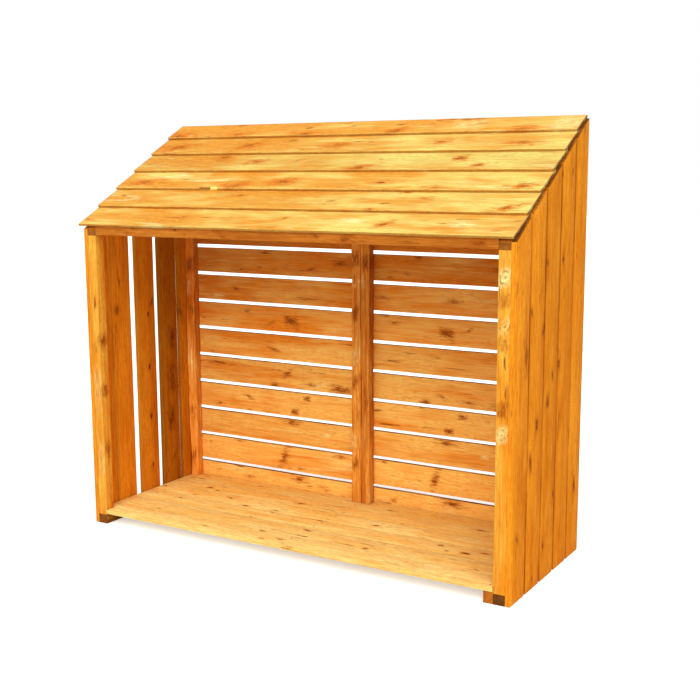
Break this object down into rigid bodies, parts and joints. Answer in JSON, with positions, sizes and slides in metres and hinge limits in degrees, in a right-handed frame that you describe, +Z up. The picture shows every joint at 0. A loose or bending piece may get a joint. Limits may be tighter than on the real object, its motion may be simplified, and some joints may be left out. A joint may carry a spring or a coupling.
{
  "type": "log store",
  "caption": "Open-fronted wooden log store with boarded sides, a slatted back, a boarded floor on bearers and a lapped board roof that falls to the front.",
  "frame": {"origin": "on the ground, under the middle of the bounding box", "axes": "+X along the width to the right seen from the front, +Y to the back, +Z up; the open front faces -Y"},
  "size_m": [1.82, 0.662, 1.5955],
  "materials": {
    "roof_wood": "golden dipped softwood, pale and weathered",
    "side_wood": "golden brown dipped softwood boards",
    "frame_wood": "golden brown dipped rough-sawn framing",
    "back_wood": "golden brown dipped softwood slats",
    "floor_wood": "golden dipped softwood floor boards",
    "foot_wood": "dark dipped rails and bearers under the floor"
  },
  "bodies": {
    "root": {"left_front_post": "frame_wood", "right_front_post": "frame_wood", "left_back_post": "frame_wood", "right_back_post": "frame_wood", "left_middle_stud": "frame_wood", "right_middle_stud": "frame_wood", "left_bottom_rail": "foot_wood", "right_bottom_rail": "foot_wood", "left_top_rail": "frame_wood", "right_top_rail": "frame_wood", "front_rail": "frame_wood", "middle_rafter": "frame_wood", "left_bearer": "foot_wood", "middle_bearer": "foot_wood", "right_bearer": "foot_wood", "left_side_board_1": "side_wood", "left_side_board_2": "side_wood", "left_side_board_3": "side_wood", "left_side_board_4": "side_wood", "left_side_board_5": "side_wood", "right_side_board_1": "side_wood", "right_side_board_2": "side_wood", "right_side_board_3": "side_wood", "right_side_board_4": "side_wood", "right_side_board_5": "side_wood", "left_back_slats": "back_wood", "right_back_slats": "back_wood", "floor_board_1": "floor_wood", "floor_board_2": "floor_wood", "floor_board_3": "floor_wood", "floor_board_4": "floor_wood", "floor_board_5": "floor_wood", "floor_board_6": "floor_wood", "roof_board_1": "roof_wood", "roof_board_2": "roof_wood", "roof_board_3": "roof_wood", "roof_board_4": "roof_wood", "roof_board_5": "roof_wood", "roof_board_6": "roof_wood"}
  },
  "joints": []
}
